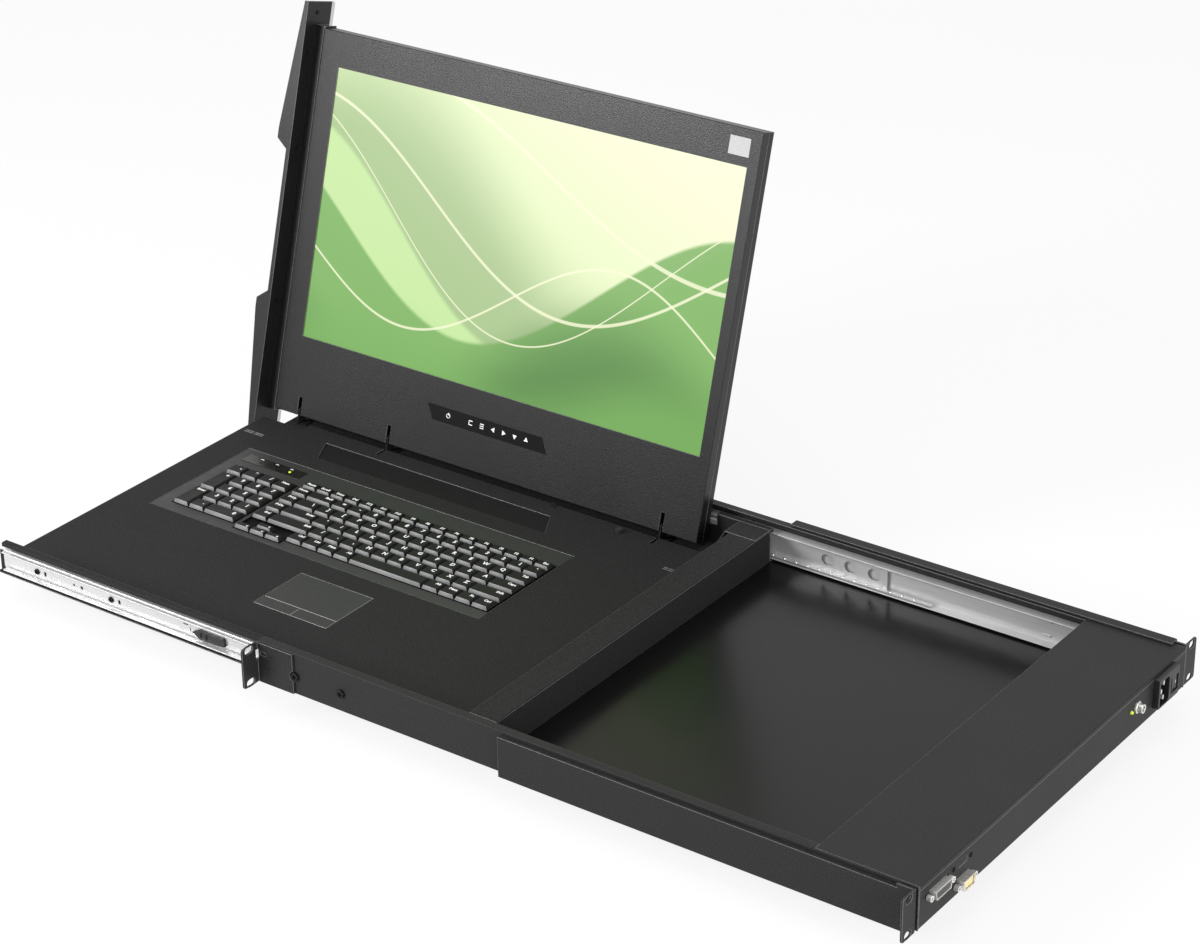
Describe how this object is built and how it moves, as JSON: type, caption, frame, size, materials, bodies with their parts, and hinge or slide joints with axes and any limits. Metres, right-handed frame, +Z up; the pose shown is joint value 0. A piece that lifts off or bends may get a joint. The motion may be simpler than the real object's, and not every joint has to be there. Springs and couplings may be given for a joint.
{
  "type": "rackmount lcd console drawer",
  "caption": "1U rack drawer with a full-width keyboard tray on ball slides, a wide LCD hinged to its long side and a rack chassis with adjustable rear brackets.",
  "frame": {"origin": "centre of the four slots of the front ears, on the face that seats on the rack post", "axes": "+Y into the rack along the slides, +X towards the side where the user stands, +Z up"},
  "size_m": [0.5605, 1.0219, 0.4314],
  "materials": {
    "chassis_black": "satin powder coat",
    "slide_zinc": "bright zinc plate",
    "ball_steel": "polished",
    "connector_steel": "nickel plate",
    "inlet_black": "moulded",
    "rocker_black": "moulded",
    "led_green": "clear lens",
    "supply_case": "plain sheet",
    "board_green": "solder mask",
    "screw_black": "black zinc",
    "tray_black": "fine texture powder coat",
    "bracket_black": "black oxide",
    "pin_steel": "ground",
    "rubber_black": "moulded",
    "lever_black": "moulded",
    "keyboard_black": "fine texture",
    "key_black": "fine texture",
    "pad_black": "fine texture",
    "bezel_black": "fine texture powder coat",
    "screen_panel": "anti-glare film over the lit panel",
    "osd_black": "gloss membrane",
    "fascia_aluminium": "brushed and anodised"
  },
  "bodies": {
    "chassis": {"chassis_base": "chassis_black", "chassis_side_near": "chassis_black", "chassis_side_far": "chassis_black", "rear_cover": "chassis_black", "rear_panel": "chassis_black", "front_ear_near": "chassis_black", "front_ear_far": "chassis_black", "outer_slide_near": "slide_zinc", "outer_slide_far": "slide_zinc", "bracket_guides": "chassis_black", "video_port": "connector_steel", "data_port": "connector_steel", "power_inlet": "inlet_black", "round_jack": "connector_steel", "status_led": "led_green", "power_supply": "supply_case", "main_board": "board_green", "chassis_screws": "screw_black"},
    "bracket_near": {"rear_bracket_near": "chassis_black"},
    "bracket_far": {"rear_bracket_far": "chassis_black"},
    "cage_near": {"ball_cage_near": "slide_zinc", "slide_balls_near": "ball_steel"},
    "cage_far": {"ball_cage_far": "slide_zinc", "slide_balls_far": "ball_steel"},
    "rocker": {"power_rocker": "rocker_black"},
    "drawer": {"drawer_pan": "tray_black", "drawer_side_near": "tray_black", "drawer_side_far": "tray_black", "keyboard_deck": "tray_black", "rear_rim": "tray_black", "inner_slide_near": "slide_zinc", "inner_slide_far": "slide_zinc", "keyboard_base": "keyboard_black", "led_strip": "keyboard_black", "touchpad": "pad_black", "cable_cover": "tray_black", "rubber_bumper": "rubber_black", "hinge_brackets": "bracket_black", "keyboard_board": "board_green", "drawer_screws": "screw_black"},
    "lever_near": {"release_lever_near": "lever_black"},
    "lever_far": {"release_lever_far": "lever_black"},
    "function_keys": {"keys_function_row": "key_black"},
    "number_keys": {"keys_number_row": "key_black"},
    "letter_keys": {"keys_letter_rows": "key_black"},
    "bottom_keys": {"keys_bottom_row": "key_black"},
    "numpad_keys": {"keys_numpad": "key_black"},
    "pad_button_front": {"touchpad_button_front": "pad_black"},
    "pad_button_rear": {"touchpad_button_rear": "pad_black"},
    "lcd": {"lcd_bezel": "bezel_black", "lcd_back_cover": "bezel_black", "lcd_panel": "screen_panel", "osd_strip": "osd_black", "lcd_board": "board_green", "hinge_leaves": "bracket_black", "hinge_pins": "pin_steel", "fascia_mount": "bezel_black", "fascia_bracket": "bezel_black", "fascia_front": "fascia_aluminium", "lcd_screws": "screw_black"}
  },
  "joints": [
    {"name": "drawer_slide", "type": "slide", "parent": "chassis", "child": "drawer", "axis": [0, 1, 0], "range_m": [0, 0.34]},
    {"name": "cage_near_slide", "type": "slide", "parent": "chassis", "child": "cage_near", "axis": [0, 1, 0], "range_m": [0, 0.17]},
    {"name": "cage_far_slide", "type": "slide", "parent": "chassis", "child": "cage_far", "axis": [0, 1, 0], "range_m": [0, 0.17]},
    {"name": "bracket_near_slide", "type": "slide", "parent": "chassis", "child": "bracket_near", "axis": [0, 1, 0], "range_m": [-0.04, 0.16]},
    {"name": "bracket_far_slide", "type": "slide", "parent": "chassis", "child": "bracket_far", "axis": [0, 1, 0], "range_m": [-0.04, 0.16]},
    {"name": "lcd_tilt", "type": "hinge", "parent": "drawer", "child": "lcd", "pos_m": [-0.18473, -0.1, -0.00434], "axis": [0, 1, 0], "range_deg": [0, 106]},
    {"name": "power_rocker_tip", "type": "hinge", "parent": "chassis", "child": "rocker", "pos_m": [-0.1899, 0.657, 0.0005], "axis": [0, 0, 1], "range_deg": [-12, 0]},
    {"name": "release_lever_near_tip", "type": "hinge", "parent": "drawer", "child": "lever_near", "pos_m": [0.208, -0.056, -0.0054], "axis": [1, 0, 0], "range_deg": [-5, 0], "stiffness_Nm_per_rad": 0.02, "springref_deg": 3.44},
    {"name": "release_lever_far_tip", "type": "hinge", "parent": "drawer", "child": "lever_far", "pos_m": [-0.208, -0.056, -0.0054], "axis": [1, 0, 0], "range_deg": [-5, 0], "stiffness_Nm_per_rad": 0.02, "springref_deg": 3.44},
    {"name": "function_keys_press", "type": "slide", "parent": "drawer", "child": "function_keys", "axis": [0, 0, -1], "range_m": [0, 0.002], "stiffness_N_per_m": 400, "springref_m": -0.002},
    {"name": "number_keys_press", "type": "slide", "parent": "drawer", "child": "number_keys", "axis": [0, 0, -1], "range_m": [0, 0.002], "stiffness_N_per_m": 400, "springref_m": -0.002},
    {"name": "letter_keys_press", "type": "slide", "parent": "drawer", "child": "letter_keys", "axis": [0, 0, -1], "range_m": [0, 0.002], "stiffness_N_per_m": 800, "springref_m": -0.002},
    {"name": "bottom_keys_press", "type": "slide", "parent": "drawer", "child": "bottom_keys", "axis": [0, 0, -1], "range_m": [0, 0.002], "stiffness_N_per_m": 600, "springref_m": -0.002},
    {"name": "numpad_keys_press", "type": "slide", "parent": "drawer", "child": "numpad_keys", "axis": [0, 0, -1], "range_m": [0, 0.002], "stiffness_N_per_m": 400, "springref_m": -0.002},
    {"name": "pad_button_front_press", "type": "slide", "parent": "drawer", "child": "pad_button_front", "axis": [0, 0, -1], "range_m": [0, 0.0005], "stiffness_N_per_m": 100, "springref_m": -0.0008},
    {"name": "pad_button_rear_press", "type": "slide", "parent": "drawer", "child": "pad_button_rear", "axis": [0, 0, -1], "range_m": [0, 0.0005], "stiffness_N_per_m": 100, "springref_m": -0.0008}
  ],
  "couplings": [
    {"joint": "cage_near_slide", "follows": "drawer_slide", "ratio": 0.5},
    {"joint": "cage_far_slide", "follows": "drawer_slide", "ratio": 0.5}
  ]
}
